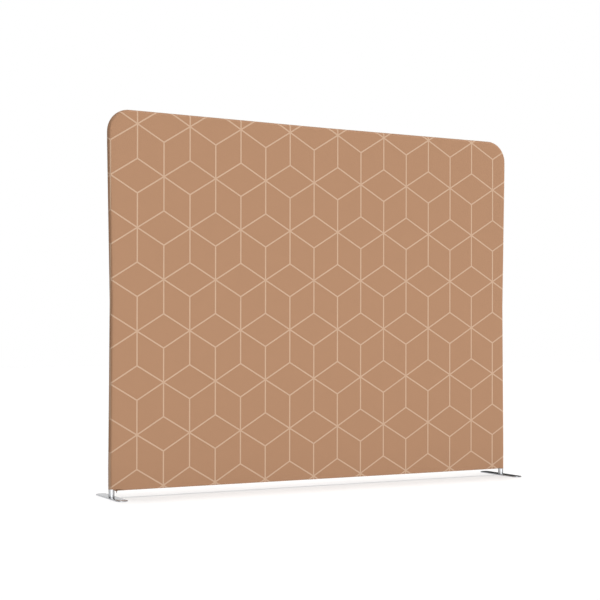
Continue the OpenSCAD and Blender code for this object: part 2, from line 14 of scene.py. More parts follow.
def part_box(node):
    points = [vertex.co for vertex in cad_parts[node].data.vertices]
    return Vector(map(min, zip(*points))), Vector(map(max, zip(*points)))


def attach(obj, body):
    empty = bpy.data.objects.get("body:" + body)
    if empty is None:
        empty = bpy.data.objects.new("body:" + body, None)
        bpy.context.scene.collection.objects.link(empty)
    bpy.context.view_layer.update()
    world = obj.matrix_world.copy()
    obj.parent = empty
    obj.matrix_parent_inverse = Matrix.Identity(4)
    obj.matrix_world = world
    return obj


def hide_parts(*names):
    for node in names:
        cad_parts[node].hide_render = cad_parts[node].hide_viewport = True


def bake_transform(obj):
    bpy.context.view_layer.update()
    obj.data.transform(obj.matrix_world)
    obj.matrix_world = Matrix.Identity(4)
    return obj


bl_info = {
    "name": "Fabric Room Divider",
    "version": (1, 0, 0),
    "blender": (4, 5, 0),
    "location": "View3D > Sidebar > Divider",
    "description": "A printed stretch sleeve over a tube frame that stands on two foot plates",
    "category": "Object",
}

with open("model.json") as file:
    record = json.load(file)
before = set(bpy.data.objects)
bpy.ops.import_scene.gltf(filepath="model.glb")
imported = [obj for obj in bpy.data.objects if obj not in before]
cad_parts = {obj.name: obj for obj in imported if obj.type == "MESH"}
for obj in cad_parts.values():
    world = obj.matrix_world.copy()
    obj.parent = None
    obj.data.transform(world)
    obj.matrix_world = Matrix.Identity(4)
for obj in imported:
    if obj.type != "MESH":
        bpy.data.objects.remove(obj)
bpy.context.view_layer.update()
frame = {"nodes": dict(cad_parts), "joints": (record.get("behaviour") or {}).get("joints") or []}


# Places on the packed frame, in metres


def middle(node):
    """The centre of a node's box."""
    low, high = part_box(node)
    return (Vector(low) + Vector(high)) / 2


PANEL_LOW, PANEL_HIGH = map(Vector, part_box("front_panel"))
HEM_HIGH = Vector(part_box("front_hem")[1])
COIL_LOW, COIL_HIGH = map(Vector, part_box("zip_coils"))
SLIDER_LOW, SLIDER_HIGH = map(Vector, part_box("zip_slider"))
PULL_LOW, PULL_HIGH = map(Vector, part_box("zip_pull"))
PLATE_LOW, PLATE_HIGH = map(Vector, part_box("foot_plate_left"))

ROLL_R = -PANEL_LOW.y  # the cloth's outer radius where it rolls round a tube
AXIS_X = PANEL_HIGH.x - ROLL_R  # the upright tubes' axes
TOP_Z = PANEL_HIGH.z - ROLL_R  # the top rail's axis
HEM_Z = PANEL_LOW.z  # the cloth's lower edge
HEM_X = HEM_HIGH.x  # the ends of the hem
TEE_Z = middle("tee_sleeve_left").z  # the joints up an upright: tee, post and corner
JOINT_Z = middle("post_sleeve_left").z
LEG_Z = middle("corner_sleeve_left").z
LEG_X = middle("rail_sleeve_right").x
SIDE_PINCH = AXIS_X + middle("post_sleeve_left").x  # how far the sides are drawn in
CORNER_LEG = 0.06  # straight leg of a top corner beyond its bend
BEND_R = AXIS_X - LEG_X - CORNER_LEG
BEND_Z = TOP_Z - BEND_R
TUBE_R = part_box("top_corner_left")[1][2] - TOP_Z
TOP_PINCH = TOP_Z + TUBE_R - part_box("top_centre_tee")[1][2]  # sag of the top rail
SAG_REACH = 0.6  # how far down the cloth follows that sag

PRINT_COLUMN = 0.1497  # width of a column and height of a row of the print
PRINT_ROW = 0.1802
EYE_R = 0.00175  # outer radius of the zip pull's eye
PIN = Vector((middle("zip_pull").x, 0.0, PULL_HIGH.z - EYE_R))  # it hangs on this

WHITE = (1.0, 1.0, 1.0, 1.0)
DRAWN_X = (0.02, 1.0, 1.0)  # squeezes that draw a texture out along one axis
DRAWN_Y = (1.0, 0.02, 1.0)
DRAWN_Z = (1.0, 1.0, 0.02)


def srgb(red, green, blue):
    """A colour given in 0 to 255 steps, as the shader's linear values."""

    def linear(v):
        v /= 255
        return v / 12.92 if v <= 0.04045 else ((v + 0.055) / 1.055) ** 2.4

    return (linear(red), linear(green), linear(blue))


# Settings


def number(name, description, default, **limits):
    """A number that a user can change."""
    return FloatProperty(name=name, description=description, default=default, **limits)


def length(name, description, default, low, high):
    """A length in metres that a user can change between low and high."""
    return number(name, description, default, min=low, max=high, unit="LENGTH")


def colour(name, description, default):
    """A linear colour that a user can change."""
    return FloatVectorProperty(
        name=name, description=description, default=default, min=0.0, max=1.0, subtype="COLOR"
    )


class DividerSleeveSettings(bpy.types.PropertyGroup):
    """Sizes and colours of the printed sleeve."""

    cloth: length("Cloth thickness", "Thickness of the knitted cloth", 0.0008, 0.0003, 0.002)
    cell: length("Cell", "Longest side of a mesh cell on the taut face", 0.055, 0.02, 0.2)
    hem_radius: length(
        "Hem radius", "Outer radius of the turn under the bottom rail", 0.0098, 0.004, 0.015
    )
    ride_up: length(
        "Ride-up", "How far the cloth's lower left corner has crept up", 0.0075, 0.0, 0.009
    )
    seam_ridge: length(
        "Seam ridge", "How far the seam along the edge stands proud", 0.0005, 0.0, 0.002
    )
    line_width: length("Line width", "Width of the printed lines", 0.0073, 0.001, 0.03)
    ground: colour("Ground", "Colour of the cloth between the lines", srgb(150, 115, 89))
    line: colour("Lines", "Colour of the printed lines", srgb(173, 145, 122))
    stitch_pitch: length(
        "Stitch pitch", "Distance from one stitch to the next", 0.005, 0.002, 0.02
    )
    thread: length("Thread", "Thickness of the sewing thread", 0.0005, 0.0002, 0.0015)


class DividerZipSettings(bpy.types.PropertyGroup):
    """Sizes and colours of the zip."""

    pitch: length(
        "Coil pitch", "Distance from one turn of the zip coil to the next", 0.002, 0.001, 0.005
    )
    wire: length("Coil wire", "Thickness of the zip coil's wire", 0.0007, 0.0003, 0.0012)
    tape: colour("Tape", "Colour of the zip's tape and coil", srgb(92, 70, 56))
    enamel: colour("Slider", "Colour of the enamelled slider, pull and stops", srgb(70, 50, 38))


class DividerMetalSettings(bpy.types.PropertyGroup):
    """Sizes and colours of the metal parts."""

    plate_radius: length(
        "Plate corner", "Corner radius of the foot plates, seen from above", 0.025, 0.002, 0.03
    )
    plate_edge: length(
        "Plate edge", "Radius of the foot plates' broken edges", 0.0012, 0.0002, 0.0028
    )
    tube: colour("Tube", "Colour of the anodised tubes", (0.82, 0.83, 0.85))
    plate: colour("Plate", "Colour of the polished foot plates", (0.55, 0.56, 0.58))


class DividerStageSettings(bpy.types.PropertyGroup):
    """The camera of the studio."""

    lens: number("Lens", "Focal length on a sensor 36 mm wide", 76.87, min=20.0, max=200.0)
    eye: FloatVectorProperty(
        name="Eye",
        description="Where the camera stands",
        default=(-3.4546, -6.254, 0.8131),
        subtype="TRANSLATION",
    )
    turn: number(
        "Turn",
        "How far the camera is turned from square-on",
        math.radians(27.94),
        subtype="ANGLE",
    )
    tilt: number("Tilt", "How far the camera looks down", math.radians(1.40), subtype="ANGLE")
    rise: number("Rise", "Upward shift of the picture, as a share of its width", 0.1187)


SETTINGS = {
    "divider_sleeve": DividerSleeveSettings,
    "divider_zip": DividerZipSettings,
    "divider_metal": DividerMetalSettings,
    "divider_stage": DividerStageSettings,
}


# Node helpers

FLOAT = "NodeSocketFloat"
VECTOR = "NodeSocketVector"
GEOMETRY = "NodeSocketGeometry"


class Sheet:
    """Adds nodes to a tree from left to right, row under row, and links them."""

    ROW, STEP_X, STEP_Y = 14, 190, -230

    def __init__(self, tree):
        self.tree = tree
        self.count = 0

    def add(self, kind, inputs=None, **settings):
        made = self.tree.nodes.new(kind)
        row, column = divmod(self.count, self.ROW)
        made.location = (self.STEP_X * column, self.STEP_Y * row)
        self.count += 1
        for key, value in settings.items():
            setattr(made, key, value)
        for key, value in (inputs or {}).items():
            self.feed(made.inputs[key], value)
        return made

    def feed(self, socket, value):
        """Links a socket to another socket or to a node's first output, or sets it."""
        if isinstance(value, bpy.types.Node):
            value = value.outputs[0]
        if isinstance(value, bpy.types.NodeSocket):
            self.tree.links.new(value, socket)
        else:
            socket.default_value = value

    def math(self, operation, *values):
        inputs = dict(enumerate(values))
        return self.add("ShaderNodeMath", inputs, operation=operation).outputs[0]

    def weighted(self, base, *parts):
        """The sum of some values, each times its weight, and of a base."""
        shares = [self.math("MULTIPLY", value, weight) for value, weight in parts]
        total = shares[0]
        for share in shares[1:]:
            total = self.math("ADD", total, share)
        return self.math("ADD", total, base) if base else total

    def ramp(self, value, start, end, low, high):
        """Eases from low, where the value is at the start, to high at the end."""
        marks = {"From Min": start, "From Max": end, "To Min": low, "To Max": high}
        return self.add(
            "ShaderNodeMapRange", {"Value": value, **marks}, interpolation_type="SMOOTHSTEP"
        ).outputs[0]

    def noise(self, place, scale, detail, roughness=0.5):
        return self.add(
            "ShaderNodeTexNoise",
            {"Vector": place, "Scale": scale, "Detail": detail, "Roughness": roughness},
        ).outputs[0]

    def blend(self, factor, first, second, mode="MIX"):
        """Mixes two colours, each a socket or three values."""
        made = self.add("ShaderNodeMix", {0: factor}, data_type="RGBA", blend_type=mode)
        for socket, value in ((made.inputs[6], first), (made.inputs[7], second)):
            if not isinstance(value, bpy.types.NodeSocket):
                value = (*value, 1.0)
            self.feed(socket, value)
        return made.outputs[2]


def new_group(name, kind, inputs, outputs):
    """A node group with named sockets; returns its sheet, its inputs and its outputs."""
    tree = bpy.data.node_groups.new(name, kind)
    for label, socket_kind, default in inputs:
        socket = tree.interface.new_socket(label, in_out="INPUT", socket_type=socket_kind)
        if default is not None:
            socket.default_value = default
    for label, socket_kind in outputs:
        tree.interface.new_socket(label, in_out="OUTPUT", socket_type=socket_kind)
    sheet = Sheet(tree)
    given = sheet.add("NodeGroupInput").outputs
    return sheet, given, sheet.add("NodeGroupOutput").inputs


# Shader groups


def knit_group():
    """Fine ribs of knitted cloth: its height, and a faint change of shade that is partly random
    tone and partly painted shade, darker in the ribs' hollows.
    """
    sheet, given, out = new_group(
        "Knit",
        "ShaderNodeTree",
        [("Cloth", VECTOR, None), ("Wale", FLOAT, 0.0011), ("Course", FLOAT, 0.0008)],
        [("Height", FLOAT), ("Shade", FLOAT)],
    )
    calc = sheet.math
    turn = 2 * math.pi
    axes = sheet.add("ShaderNodeSeparateXYZ", {0: given["Cloth"]}).outputs
    across = calc("DIVIDE", axes[0], given["Wale"])
    along = calc("DIVIDE", axes[1], given["Course"])
    rib = calc("COSINE", calc("MULTIPLY", across, turn))
    lean = calc("MULTIPLY", calc("ABSOLUTE", rib), 0.35)
    loop = calc("COSINE", calc("MULTIPLY", calc("ADD", along, lean), turn))
    height = sheet.weighted(0.5, (rib, 0.3), (loop, 0.2))
    patch = sheet.noise(given["Cloth"], 9.0, 3.0, 0.6)
    fibre = sheet.noise(given["Cloth"], 900.0, 2.0, 0.7)
    # random tone from patches and fibres, plus painted shade from the ribs' height: the hollows
    # darker
    shade = sheet.weighted(0.932, (patch, 0.035), (fibre, 0.05), (height, 0.05))
    sheet.feed(out["Height"], height)
    sheet.feed(out["Shade"], shade)
    return sheet.tree


def block_lines_group():
    """The line net of the tumbling-block pattern, from column and row coordinates."""
    sheet, given, out = new_group(
        "Block lines",
        "ShaderNodeTree",
        [
            ("Print", VECTOR, None),
            ("Column", FLOAT, PRINT_COLUMN),
            ("Row", FLOAT, PRINT_ROW),
            ("Line", FLOAT, 0.006),
        ],
        [("Mask", FLOAT)],
    )
    calc = sheet.math
    column_shift = 99.0  # odd, as the pattern repeats every two columns
    row_shift = 300.0  # whole repeats of three rows
    ink_edge = 0.0004  # half the width over which a line's edge fades
    axes = sheet.add("ShaderNodeSeparateXYZ", {0: given["Print"]}).outputs
    fold = calc("PINGPONG", calc("ADD", axes[0], column_shift), 1.0)
    rise = calc("PINGPONG", calc("ADD", axes[1], row_shift), 1.5)
    half = calc("MULTIPLY", fold, 0.5)
    slope = calc("DIVIDE", calc("MULTIPLY", given["Row"], 0.5), given["Column"])
    run = calc("SQRT", calc("ADD", calc("MULTIPLY", slope, slope), 1.0))
    square_on = calc("MULTIPLY", given["Row"], calc("DIVIDE", 1.0, run))

    def slanted(start):
        """The distance from a slanted line that starts at a row."""
        off = calc("SUBTRACT", calc("SUBTRACT", rise, half), start)
        return calc("MULTIPLY", calc("ABSOLUTE", off), square_on)

    def upright(off, beyond):
        """The distance from an upright line, beside it or beyond its end."""
        side = calc("MULTIPLY", off, given["Column"])
        return calc("MAXIMUM", side, calc("MULTIPLY", beyond, given["Row"]))

    odd = upright(fold, calc("SUBTRACT", rise, 1.0))
    even = upright(calc("SUBTRACT", 1.0, fold), calc("SUBTRACT", 0.5, rise))
    near = calc(
        "MINIMUM", calc("MINIMUM", slanted(0.0), slanted(1.0)), calc("MINIMUM", odd, even)
    )
    reach = calc("MULTIPLY", given["Line"], 0.5)
    start, end = calc("SUBTRACT", reach, ink_edge), calc("ADD", reach, ink_edge)
    sheet.feed(out["Mask"], sheet.ramp(near, start, end, 1.0, 0.0))
    return sheet.tree


def drawn_metal_group():
    """Fine scratches along one way: their height and how they change the gloss."""
    sheet, given, out = new_group(
        "Drawn metal",
        "ShaderNodeTree",
        [
            ("Place", VECTOR, None),
            ("Stretch", VECTOR, (1.0, 1.0, 1.0)),
            ("Scale", FLOAT, 600.0),
        ],
        [("Height", FLOAT), ("Gloss", FLOAT)],
    )
    squeezed = sheet.add(
        "ShaderNodeVectorMath", {0: given["Place"], 1: given["Stretch"]}, operation="MULTIPLY"
    )
    scratch = sheet.noise(squeezed, given["Scale"], 4.0, 0.65)
    smear = sheet.noise(given["Place"], 14.0, 3.0, 0.6)
    sheet.feed(out["Height"], scratch)
    sheet.feed(out["Gloss"], sheet.weighted(0.0, (scratch, 0.6), (smear, 0.4)))
    return sheet.tree


def grain_group():
    """Fine even grain for moulded, enamelled and sewn parts."""
    sheet, given, out = new_group(
        "Grain",
        "ShaderNodeTree",
        [("Place", VECTOR, None), ("Scale", FLOAT, 900.0)],
        [("Height", FLOAT), ("Shade", FLOAT)],
    )
    fine = sheet.noise(given["Place"], given["Scale"], 3.0)
    broad = sheet.noise(given["Place"], 45.0, 2.0)
    sheet.feed(out["Height"], fine)
    sheet.feed(out["Shade"], sheet.weighted(0.87, (fine, 0.12), (broad, 0.14)))
    return sheet.tree


def group(name):
    """A shader group by name, built the first time that it is asked for."""
    makers = {
        "Knit": knit_group,
        "Block lines": block_lines_group,
        "Drawn metal": drawn_metal_group,
        "Grain": grain_group,
    }
    return bpy.data.node_groups.get(name) or makers[name]()


# Materials


def new_material(name, looks):
    """A material with a Principled shader; returns it, its sheet and the shader's inputs."""
    made = bpy.data.materials.new(name)
    made.use_nodes = True
    made.node_tree.nodes.clear()
    sheet = Sheet(made.node_tree)
    shader = sheet.add("ShaderNodeBsdfPrincipled", looks)
    sheet.add("ShaderNodeOutputMaterial", {"Surface": shader})
    return made, sheet, shader.inputs


def use_group(sheet, name, **inputs):
    return sheet.add("ShaderNodeGroup", inputs, node_tree=group(name)).outputs


def add_bump(sheet, shader, height, distance, strength):
    bump = {"Height": height, "Distance": distance, "Strength": strength}
    sheet.feed(shader["Normal"], sheet.add("ShaderNodeBump", bump))


def tinted(sheet, base, shade):
    """A colour times a shade that changes over the surface."""
    return sheet.blend(1.0, base, shade, "MULTIPLY")


def printed_cloth():
    """Knitted stretch cloth with the tumbling-block line print."""
    p = bpy.context.scene.divider_sleeve
    looks = {
        "Roughness": 0.82,
        "Specular IOR Level": 0.12,
        "Sheen Weight": 0.08,
        "Sheen Roughness": 0.5,
    }
    made, sheet, shader = new_material("Printed cloth", looks)
    print_uv = sheet.add("ShaderNodeUVMap", uv_map="Print")
    cloth_uv = sheet.add("ShaderNodeUVMap", uv_map="Cloth")
    lines = use_group(sheet, "Block lines", Print=print_uv, Line=p.line_width)
    knit = use_group(sheet, "Knit", Cloth=cloth_uv)
    dye = sheet.blend(lines["Mask"], p.ground, p.line)
    # the knit's shade is random tone plus painted shade in the ribs' hollows
    sheet.feed(shader["Base Color"], tinted(sheet, dye, knit["Shade"]))
    add_bump(sheet, shader, knit["Height"], distance=0.00012, strength=0.35)
    return made


def metal(name, base, roughness, stretch=DRAWN_Z, rim=0.0):
    """Bare metal with fine drawing marks; rim is a painted shade that darkens the colour where
    the metal is seen edge-on.
    """
    made, sheet, shader = new_material(name, {"Metallic": 1.0})
    place = sheet.add("ShaderNodeTexCoord").outputs["Object"]
    drawn = use_group(sheet, "Drawn metal", Place=place, Stretch=stretch)
    tone = sheet.weighted(0.94, (drawn["Gloss"], 0.12))
    # painted shade: the colour darkens toward the outline, where the surface is seen edge-on
    if rim:
        facing = sheet.add("ShaderNodeLayerWeight", {"Blend": 0.5}).outputs["Facing"]
        shade = sheet.ramp(facing, 0.12, 0.55, 1.0, 1.0 - rim)
        tone = sheet.math("MULTIPLY", tone, shade)
    sheet.feed(shader["Base Color"], tinted(sheet, base, tone))
    rough = sheet.weighted(roughness - 0.08, (drawn["Gloss"], 0.16))
    sheet.feed(shader["Roughness"], rough)
    add_bump(sheet, shader, drawn["Height"], distance=0.00001, strength=0.4)
    return made


def grained(name, base, roughness, scale, depth=0.00005):
    """Enamel, nylon or thread: an even colour with a fine grain."""
    made, sheet, shader = new_material(name, {"Roughness": roughness})
    place = sheet.add("ShaderNodeTexCoord").outputs["Object"]
    grain = use_group(sheet, "Grain", Place=place, Scale=scale)
    sheet.feed(shader["Base Color"], tinted(sheet, base, grain["Shade"]))
    add_bump(sheet, shader, grain["Height"], depth, strength=0.4)
    return made


# Mesh helpers


def object_from(name, mesh):
    made = bpy.data.objects.new(name, mesh)
    bpy.context.scene.collection.objects.link(made)
    return made


def object_from_bmesh(name, bm, material=None, smooth_below=None):
    """An object of a mesh; smooth_below is the angle from which an edge stays sharp."""
    mesh = bpy.data.meshes.new(name)
    bm.normal_update()
    bm.to_mesh(mesh)
    bm.free()
    if material:
        mesh.materials.append(material)
    made = object_from(name, mesh)
    if smooth_below:
        smooth_by_angle(made, smooth_below)
    return made


def dress(node, material):
    """Gives a carried-over node its material."""
    mesh = frame["nodes"][node].data
    mesh.materials.clear()
    mesh.materials.append(material)


def smooth_by_angle(piece, degrees):
    piece.data.shade_smooth()
    bm = bmesh.new()
    bm.from_mesh(piece.data)
    limit = math.radians(degrees)
    for edge in bm.edges:
        joined = len(edge.link_faces) == 2
        edge.smooth = joined and edge.calc_face_angle(0) < limit
    bm.to_mesh(piece.data)
    bm.free()


def circle(radius, count):
    """Points round the origin, from the first axis toward the second."""
    turns = [2 * math.pi * k / count for k in range(count)]
    return [(radius * math.cos(a), radius * math.sin(a)) for a in turns]


def neighbours(ring):
    """Each point of a closed ring with the next one."""
    return zip(ring, ring[1:] + ring[:1])


def join_rings(bm, one, two):
    """Joins two rings with the same count of points by a band of quads."""
    for (a, b), (c, d) in zip(neighbours(one), neighbours(two)):
        bm.faces.new((a, b, d, c))


def fill_between(bm, outer, inner):
    """Fills the flat between an outer ring and a hole's ring."""
    edges = [
        bm.edges.get(pair) or bm.edges.new(pair)
        for ring in (outer, inner)
        for pair in neighbours(ring)
    ]
    bmesh.ops.triangle_fill(bm, edges=edges, use_beauty=True)


def round_edges(bm, edges, radius, segments):
    edges = list(dict.fromkeys(edges))
    bmesh.ops.bevel(bm, geom=edges, offset=radius, segments=segments, affect="EDGES")


def add_block(bm, low, high, edge=0.0, segments=2):
    """Adds a box with rounded edges to a mesh."""
    low, high = Vector(low), Vector(high)
    size = Matrix.Diagonal((*(high - low), 1.0))
    place = Matrix.Translation((low + high) / 2)
    made = bmesh.ops.create_cube(bm, size=1.0, matrix=place @ size)
    if edge:
        edges = [e for v in made["verts"] for e in v.link_edges]
        round_edges(bm, edges, edge, segments)


def add_prism(bm, outline, low, high, edge):
    """Adds an upright prism over an outline of (x, y) points, with rounded rims."""
    base, top = ([bm.verts.new((x, y, z)) for x, y in outline] for z in (low, high))
    caps = [bm.faces.new(list(reversed(base))), bm.faces.new(top)]
    join_rings(bm, base, top)
    round_edges(bm, [e for f in caps for e in f.edges], edge, 2)


def add_rod(bm, start, end, radius):
    """Adds a round rod between two points."""
    start, end = Vector(start), Vector(end)
    way = end - start
    turn = way.to_track_quat("Z", "Y").to_matrix().to_4x4()
    bmesh.ops.create_cone(
        bm,
        cap_ends=True,
        segments=20,
        radius1=radius,
        radius2=radius,
        depth=way.length,
        matrix=Matrix.Translation((start + end) / 2) @ turn,
    )


# Sleeve

SEAM_BACK = 0.0019  # from the seam to its stitches
ZIP_ROWS = (0.0048, 0.0058)  # from the screen's middle to each row along the zip
ROW_END = 0.004  # from a hem's end to the first stitch


def side_x(z):
    """How far out the left upright's axis stands at height z, below the bend."""
    if z <= TEE_Z or z >= LEG_Z:
        return AXIS_X
    low, high = (TEE_Z, JOINT_Z) if z < JOINT_Z else (LEG_Z, JOINT_Z)
    return AXIS_X - SIDE_PINCH * (z - low) / (high - low)


def top_drop(x):
    """How far the top rail is drawn down at x."""
    return TOP_PINCH * max(0.0, 1 - abs(x) / LEG_X)


def between(marks, step):
    """The marks, with steps of at most the given size filled in between them."""
    found = [marks[0]]
    for a, b in pairwise(marks):
        n = max(1, math.ceil((b - a) / step - 1e-6))
        found += [a + (b - a) * k / n for k in range(1, n + 1)]
    return found


def left_edge(step):
    """Points (x, z, way out) on the tube axes, from the hem up round the bend."""
    hem_c = HEM_Z + bpy.context.scene.divider_sleeve.hem_radius
    heights = [HEM_Z] + between([hem_c, TEE_Z, JOINT_Z, LEG_Z, BEND_Z], step)
    edge = [(-side_x(z), z, (-1.0, 0.0)) for z in heights]
    turns = 16
    for k in range(1, turns + 1):
        a = math.pi / 2 * k / turns
        out = (-math.cos(a), math.sin(a))
        x = -AXIS_X + BEND_R + BEND_R * out[0]
        edge.append((x, BEND_Z + BEND_R * out[1], out))
    return edge


def crossing_map():
    """The map from a place on the flat face to the print's column and row.

    The print lies a little askew on the taut cloth. Four crossings of its lines say
    how: their columns and rows, and where they are in metres.
    """
    crossings = [
        ((1, 0), (-1.0920, 1.9248)),
        ((15, 0), (1.0010, 1.9759)),
        ((1, 9), (-1.1009, 0.3218)),
        ((15, 9), (1.0041, 0.3363)),
    ]
    rows, values = [], []
    for (c, r), (x, z) in crossings:
        rows += [x, z, 1, 0, 0, 0, -c * x, -c * z], [0, 0, 0, x, z, 1, -r * x, -r * z]
        values += [c, r]
    return numpy.linalg.solve(rows, values)


def build_sleeve():
    """The sleeve as one skin: front, rolled edge with its seam, hems and back.

    Each vertex keeps its place on the cloth laid flat, which its UV maps come from.
    """
    p = bpy.context.scene.divider_sleeve
    hem_r = p.hem_radius
    hem_c = HEM_Z + hem_r
    hem_flat_y = ROLL_R - hem_r
    mouth_y = -HEM_HIGH.y
    edge = left_edge(p.cell)
    first = (AXIS_X - HEM_X) / (2 * AXIS_X)
    marks = [first, 0.5, 1 - first]
    shares = [0.0] + between(marks, p.cell / (2 * AXIS_X)) + [1.0]
    last = len(shares) - 1
    top_row = len(edge) - 1
    bm = bmesh.new()
    place = {}
    front_faces = []

    def vert(x, y, z, flat_x, flat_z):
        made = bm.verts.new((x, y, z))
        place[made] = (flat_x, flat_z)
        return made

    def quad(a, b, c, d):
        if None not in (a, b, c, d):
            front_faces.append(bm.faces.new((a, b, c, d)))

    # the flat face, from the hem up; its lowest row has only its ends
    face = []
    for i, (x0, z, _) in enumerate(edge):
        row = []
        for j, share in enumerate(shares):
            if i == 0 and 1 < j < last - 1:
                row.append(None)
                continue
            x = x0 * (1 - 2 * share)
            fade = max(0.0, 1 - (TOP_Z - z) / SAG_REACH)
            high = z - top_drop(x) * fade
            if i == 0 and j == 0:
                high += p.ride_up
            row.append(vert(x, -ROLL_R, high, x, high))
        face.append(row)
    for i in range(top_row):
        for j in range(last):
            quad(face[i][j], face[i][j + 1], face[i + 1][j + 1], face[i + 1][j])

    # the rolled edge: arc lengths back from the seam, and how proud the cloth is there
    ridge = p.seam_ridge
    quarter = math.pi / 2 * ROLL_R
    steps = [quarter * (1 - k / 8) for k in range(1, 7)]
    steps += [0.0042, 0.0028, 0.0009, 0.0]
    proud = [0.0] * 7 + [0.9 * ridge, ridge, 0.2 * ridge]
    left = [(face[i][0], edge[i][2]) for i in range(top_row + 1)]
    top = [(face[top_row][j], (0.0, 1.0)) for j in range(1, last)]
    right = [(face[i][last], (-edge[i][2][0], edge[i][2][1])) for i in range(top_row + 1)]
    bands = []
    for corner, out in left + top + right[::-1]:
        x, _, z = corner.co
        band = [corner]
        for back, raised in zip(steps, proud):
            arc = quarter - back
            a = arc / ROLL_R
            r = ROLL_R + raised
            far = r * math.sin(a)
            y = -r * math.cos(a) if back else 0.0
            flat_x, flat_z = x + out[0] * arc, z + out[1] * arc
            band.append(vert(x + out[0] * far, y, z + out[1] * far, flat_x, flat_z))
        bands.append(band)
    for one, two in pairwise(bands):
        for k in range(len(steps)):
            quad(one[k + 1], one[k], two[k], two[k + 1])

    # the hem: down, round and under to the zip's mouth, with its two ends closed
    turns = 6
    mouth_flat = hem_c - hem_r * math.pi / 2 - (hem_flat_y - mouth_y)
    under = []
    for j in range(1, last):
        x = face[1][j].co.x
        column = [face[1][j]]
        for k in range(1, turns + 1):
            a = math.pi / 2 * k / turns
            y = -hem_flat_y - hem_r * math.cos(a)
            column.append(vert(x, y, hem_c - hem_r * math.sin(a), x, hem_c - hem_r * a))
        column.append(vert(x, -mouth_y, HEM_Z, x, mouth_flat))
        under.append(column)
    for one, two in pairwise(under):
        for k in range(len(one) - 1):
            quad(one[k + 1], two[k + 1], two[k], one[k])
    for column, corner in ((under[0], face[0][1]), (under[-1], face[0][last - 1])):
        for k in range(turns):
            ring = [corner, column[k + 1], column[k]]
            if corner is face[0][1]:
                ring.reverse()
            front_faces.append(bm.faces.new(ring))

    # the back is the front's mirror image, sewn to it along the seam
    twin = {}
    for v in list(place):
        seam = v.co.y == 0.0
        twin[v] = v if seam else vert(v.co.x, -v.co.y, v.co.z, *place[v])
    for f in front_faces:
        bm.faces.new([twin[v] for v in reversed(f.verts)])

    print_uv = bm.loops.layers.uv.new("Print")
    cloth_uv = bm.loops.layers.uv.new("Cloth")
    col_x, col_z, col_0, row_x, row_z, row_0, skew_x, skew_z = crossing_map()
    for f in bm.faces:
        for corner in f.loops:
            x, z = place[corner.vert]
            w = skew_x * x + skew_z * z + 1
            column = (col_x * x + col_z * z + col_0) / w
            corner[print_uv].uv = (column, (row_x * x + row_z * z + row_0) / w)
            corner[cloth_uv].uv = (x, z)
    return bm


def seam_path(proud, side):
    """Points along the sleeve's edge, on the stitches in front of or behind the seam."""
    edge = left_edge(step=0.03)
    a = math.pi / 2 - SEAM_BACK / ROLL_R
    r = ROLL_R + proud
    far = r * math.sin(a)
    points = [(x + out[0] * far, z + out[1] * far) for x, z, out in edge]
    half = AXIS_X - BEND_R
    count = 60
    for k in range(1, count):
        x = -half + 2 * half * k / count
        points.append((x, TOP_Z - top_drop(x) + far))
    mirrored = [(-x, z) for x, z in reversed(points[: len(edge)])]
    return [(x, side * r * math.cos(a), z) for x, z in points + mirrored]


def row_tree(name, sizes, material, build):
    """A geometry tree that repeats an item at even steps along edges."""
    inputs = [("Geometry", GEOMETRY, None)]
    inputs += [(label, FLOAT, size) for label, size in sizes.items()]
    outputs = [("Geometry", GEOMETRY)]
    sheet, given, out = new_group(name, "GeometryNodeTree", inputs, outputs)
    curve = sheet.add("GeometryNodeMeshToCurve", {"Mesh": given["Geometry"]})
    spaced = sheet.add(
        "GeometryNodeResampleCurve", {"Curve": curve, "Length": given["Pitch"]}, mode="LENGTH"
    )
    facing = sheet.add(
        "FunctionNodeAlignRotationToVector",
        {"Vector": sheet.add("GeometryNodeInputTangent")},
        axis="Z",
    )
    placed = sheet.add(
        "GeometryNodeInstanceOnPoints",
        {"Points": spaced, "Instance": build(sheet, given), "Rotation": facing},
    )
    real = sheet.add("GeometryNodeRealizeInstances", {0: placed})
    smooth = sheet.add("GeometryNodeSetShadeSmooth", {0: real})
    finished = sheet.add("GeometryNodeSetMaterial", {"Geometry": smooth, "Material": material})
    sheet.feed(out["Geometry"], finished)
    return sheet.tree


def stitch_item(sheet, given):
    """One stitch: a short spindle of thread along the seam."""
    ball = sheet.add("GeometryNodeMeshUVSphere", {"Segments": 6, "Rings": 4, "Radius": 0.5})
    size = sheet.add(
        "ShaderNodeCombineXYZ", {0: given["Thread"], 1: given["Thread"], 2: given["Stitch"]}
    )
    return sheet.add("GeometryNodeTransform", {"Geometry": ball, "Scale": size})


def coil_item(sheet, given):
    """One turn of the zip coil: a wire bent to a flat loop, slanted a little."""
    slant = math.radians(14)
    ring = sheet.add("GeometryNodeCurvePrimitiveCircle", {"Resolution": 8, "Radius": 0.5})
    size = sheet.add("ShaderNodeCombineXYZ", {0: given["Width"], 1: given["Height"], 2: 1.0})
    flat = sheet.add(
        "GeometryNodeTransform",
        {"Geometry": ring, "Rotation": (slant, 0.0, 0.0), "Scale": size},
    )
    wire_r = sheet.math("MULTIPLY", given["Wire"], 0.5)
    wire = sheet.add("GeometryNodeCurvePrimitiveCircle", {"Resolution": 3, "Radius": wire_r})
    return sheet.add("GeometryNodeCurveToMesh", {"Curve": flat, "Profile Curve": wire})


def repeat_along(name, runs, tree):
    """A row tree's items along each run of points, as a plain mesh object."""
    bm = bmesh.new()
    for points in runs:
        for pair in pairwise([bm.verts.new(point) for point in points]):
            bm.edges.new(pair)
    path = object_from_bmesh(name + "_path", bm)
    path.modifiers.new("Row", "NODES").node_group = tree
    view = bpy.context.evaluated_depsgraph_get()
    mesh = bpy.data.meshes.new_from_object(path.evaluated_get(view))
    mesh.name = name
    bpy.data.objects.remove(path)
    return object_from(name, mesh)


